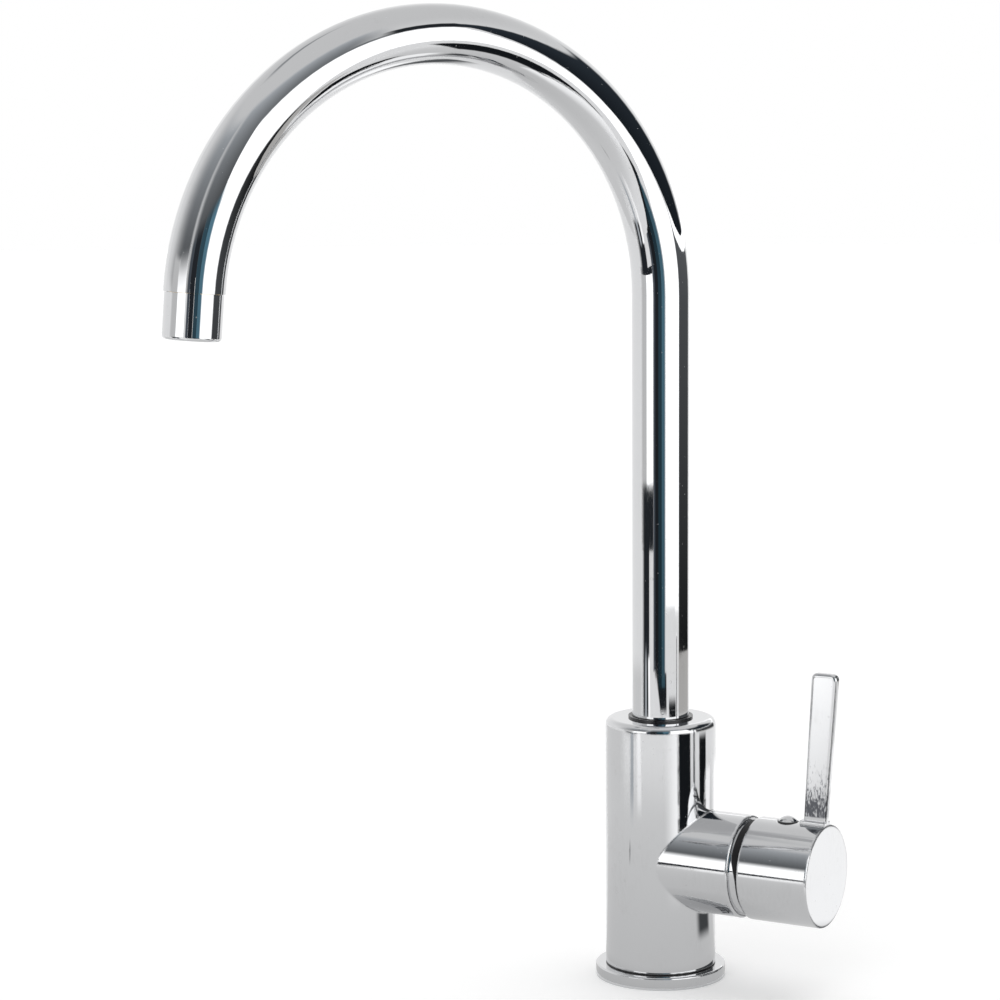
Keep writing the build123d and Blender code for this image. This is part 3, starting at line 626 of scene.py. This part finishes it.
def laid_card(name, near, far, height=0.001, **looks):
    """Flat card, on the floor if no height is given. near and far are its edges, each a start angle, an end
    angle and a distance."""
    def place(across, up):
        near_angle, far_angle = (edge[0] + (edge[1] - edge[0]) * across for edge in (near, far))
        return around(near_angle + (far_angle - near_angle) * up, near[2] + (far[2] - near[2]) * up, height)
    card(name, place, **looks)


NAVY = (0.72, 0.84, 1.0)
TEAL = (0.35, 0.75, 1.0)
BLUE = (0.6, 0.78, 1.0)
SLATE = (0.9, 0.95, 1.0)
CREAM = (1, 0.98, 0.95)
WHITE = (1, 1, 1)

# In front, toward the camera: dark cloths for the unlit half of the room, and a grey wall above them.
standing_card("front_cloth_edge", angles=(-30, -21), distance=0.74, heights=(0, 0.53), colour=NAVY,
              glow=0.12, soft=(0.4, 0, 0, 0.15))
standing_card("front_cloth_left", angles=(-21, -8), distance=0.72, heights=(0, 0.53), colour=NAVY,
              glow=(0.02, 0.04), soft=(0, 0, 0, 0.15))
standing_card("front_cloth_middle", angles=(-8, 5), distance=0.68, heights=(0, 0.52), colour=TEAL,
              glow=(0.04, 0.15), soft=(0, 0, 0, 0.15))
standing_card("front_cloth_right", angles=(5, 21), distance=0.68, heights=(0, 0.50), colour=TEAL,
              glow=(0.14, 0.4), soft=(0, 0.35, 0, 0.15))
standing_card("front_wall", angles=(-34, 58), distance=1.5, heights=(0.4, 1.15), colour=SLATE,
              glow=(0.05, 0.26), soft=(0.2, 0.08, 0, 0))
standing_card("front_wall_high", angles=(-34, 58), distance=1.5, heights=(1.15, 2.7), colour=SLATE,
              glow=(0.26, 0.72), soft=(0.2, 0.15, 0, 0.4))

# To the left: a soft box with a dark skirt, a grey board beside it and a dark wall above. On the paper
# lie a dark cloth, a grey sheet, and a board and a shade that the lever's bar mirrors. The drop mark
# gives the column a small dark reflection.
standing_card("left_soft_box", angles=(-58, -29), distance=1.3, heights=(0.05, 0.64), colour=WHITE,
              glow=1.9, soft=(0.08, 0.04, 0, 0.5))
standing_card("left_skirt", angles=(-84, -27), distance=1.28, heights=(0, 0.055), colour=NAVY, glow=0.03,
              soft=(0.3, 0.05, 0, 0))
standing_card("left_board", angles=(-84, -56), distance=1.32, heights=(0, 0.60), colour=WHITE, glow=0.72,
              soft=(0.35, 0, 0, 0.1))
standing_card("left_wall", angles=(-112, -26), distance=1.36, heights=(0.36, 2.2), colour=SLATE,
              glow=(0.07, 0.66), soft=(0.72, 0.1, 0.05, 0.3))
laid_card("left_paper_edge", near=(-80, -44, 0.53), far=(-80, -44, 1.28), colour=NAVY, glow=0.03,
          soft=(0.35, 0.1, 0.1, 0))
laid_card("left_floor_tone", near=(-158, -72, 0.24), far=(-158, -72, 0.80), height=0.0007, colour=WHITE,
          glow=0.84, soft=(0.2, 0.25, 0.25, 0.2))
laid_card("bar_board", near=(-50, -36, 0.32), far=(-53, -42, 0.80), height=0.0016, colour=WHITE,
          glow=(1.14, 1.66), soft=(0.35, 0.35, 0.15, 0.08))
laid_card("bar_shade", near=(-66, -55, 0.3), far=(-66, -57, 0.85), height=0.0014, colour=SLATE, glow=0.6,
          soft=(0.4, 0.2, 0.2, 0.2))
laid_card("drop_mark", near=(-66, -62.5, 0.225), far=(-66, -62.5, 0.29), colour=SLATE, glow=0.06,
          soft=(0.5, 0.5, 0.5, 0.5))

# To the right: a soft box, low at its far end, and dark cloths that reach over the box and leave a slit of
# light between them. More cloths lie on the paper, here and in front, with one pale grey sheet.
standing_card("right_soft_box", angles=(20, 63), distance=1.0, heights=(0, 0.83), colour=WHITE, glow=1.9,
              soft=(0.05, 0.02, 0, 0.08))
standing_card("right_low_box", angles=(60, 79), distance=0.98, heights=(0, 0.35), colour=WHITE, glow=1.9,
              soft=(0, 0.1, 0, 0.04))
standing_card("right_cloth_over", angles=(47, 66), distance=0.82, heights=(0.74, 1.02), colour=NAVY,
              glow=0.03, soft=(0.25, 0, 0.15, 0.25))
standing_card("right_cloth_high", angles=(63, 150), distance=0.80, heights=(0.366, 0.98), colour=BLUE,
              glow=(0.022, 0.05), soft=(0.01, 0.2, 0, 0.12))
standing_card("right_cloth_low", angles=(78, 148), distance=0.80, heights=(0, 0.332), colour=SLATE,
              glow=(0.012, 0.14), soft=(0.04, 0.1, 0, 0))
standing_card("right_slit", angles=(82, 182), distance=0.84, heights=(0.325, 0.372), colour=WHITE,
              glow=1.8)
laid_card("right_floor_cloth", near=(33.5, 64.5, 0.27), far=(33.5, 64.5, 0.66), colour=NAVY, glow=0.015,
          soft=(0.05, 0.05, 0.12, 0.12))
laid_card("far_floor_cloth", near=(86, 108, 0.27), far=(86, 108, 0.56), colour=NAVY, glow=0.012,
          soft=(0.08, 0.06, 0.12, 0.12))
laid_card("right_floor_tone", near=(76, 150, 0.56), far=(76, 150, 0.82), colour=CREAM, glow=0.58,
          soft=(0.08, 0.1, 0.15, 0))
laid_card("front_floor_cloth", near=(0, 26, 0.59), far=(-20, 26, 0.73), colour=NAVY, glow=0.02,
          soft=(0.1, 0.1, 0.15, 0))

# Boards laid on the paper. Three white ones lift the column's right half, the cap's end and the tap's back,
# and two dark ones are the cap's shadow and the shade behind the tap.
laid_card("column_board", near=(5, 38, 0.14), far=(5, 38, 0.6), colour=WHITE, glow=1.35,
          soft=(0.85, 0.02, 0.25, 0.1))
laid_card("cap_board", near=(86, 118, 0.15), far=(104, 126, 0.46), colour=WHITE, glow=1.33,
          soft=(0.12, 0.12, 0.08, 0.1))
laid_card("cap_shadow", near=(70, 116, 0.078), far=(70, 116, 0.152), height=0.0014, colour=SLATE,
          glow=0.08, soft=(0.3, 0.25, 0.35, 0.35))
laid_card("back_board", near=(138, 184, 0.24), far=(138, 184, 0.48), height=0.0012, colour=WHITE,
          glow=1.5, soft=(0.3, 0.3, 0.35, 0.35))
laid_card("back_shade", near=(166, 194, 0.16), far=(166, 194, 0.7), height=0.0018, colour=SLATE,
          glow=0.12, soft=(0.4, 0.4, 0.1, 0.5))

# The paper close to the tap, which is in its shade.
laid_card("paper_foot", near=(-180, 180, 0.03), far=(-180, 180, 0.06), height=0.0008, colour=WHITE,
          glow=(0.64, 0.74), soft=(0, 0, 0, 0.5))
laid_card("paper_near", near=(-150, 140, 0.03), far=(-150, 140, 0.52), height=0.0006, colour=WHITE,
          glow=(0.72, 0.93), soft=(0.05, 0.05, 0, 0.4))

# A grey beam under the ceiling, behind the tap on its left.
laid_card("beam_over", near=(-160, -80, 0.60), far=(-150, -90, 0.90), height=1.6, colour=SLATE, glow=0.32,
          soft=(0.4, 0.4, 0.5, 0.5))

# ---------------------------------------------------------------- camera
# Long lens 1.4 metres away, a little lower than the top of the spout, looking slightly down. Its place
# and angles were fitted to the tap's outlines in the photograph.

camera_data = bpy.data.cameras.new("camera")
camera_data.sensor_width = 36.0
camera_data.lens = 114.17
camera = bpy.data.objects.new("camera", camera_data)
camera_place = (-0.7655, -1.1433, 0.3988)
heading = radians(30.88)
pitch = radians(-7.69)
roll = radians(-0.40)
aim = Euler((pi / 2 + pitch, 0, -heading)).to_matrix().to_4x4() @ Matrix.Rotation(roll, 4, "Z")
camera.matrix_world = Matrix.Translation(camera_place) @ aim
bpy.context.scene.collection.objects.link(camera)
bpy.context.scene.camera = camera
bpy.context.scene.view_settings.view_transform = "Standard"
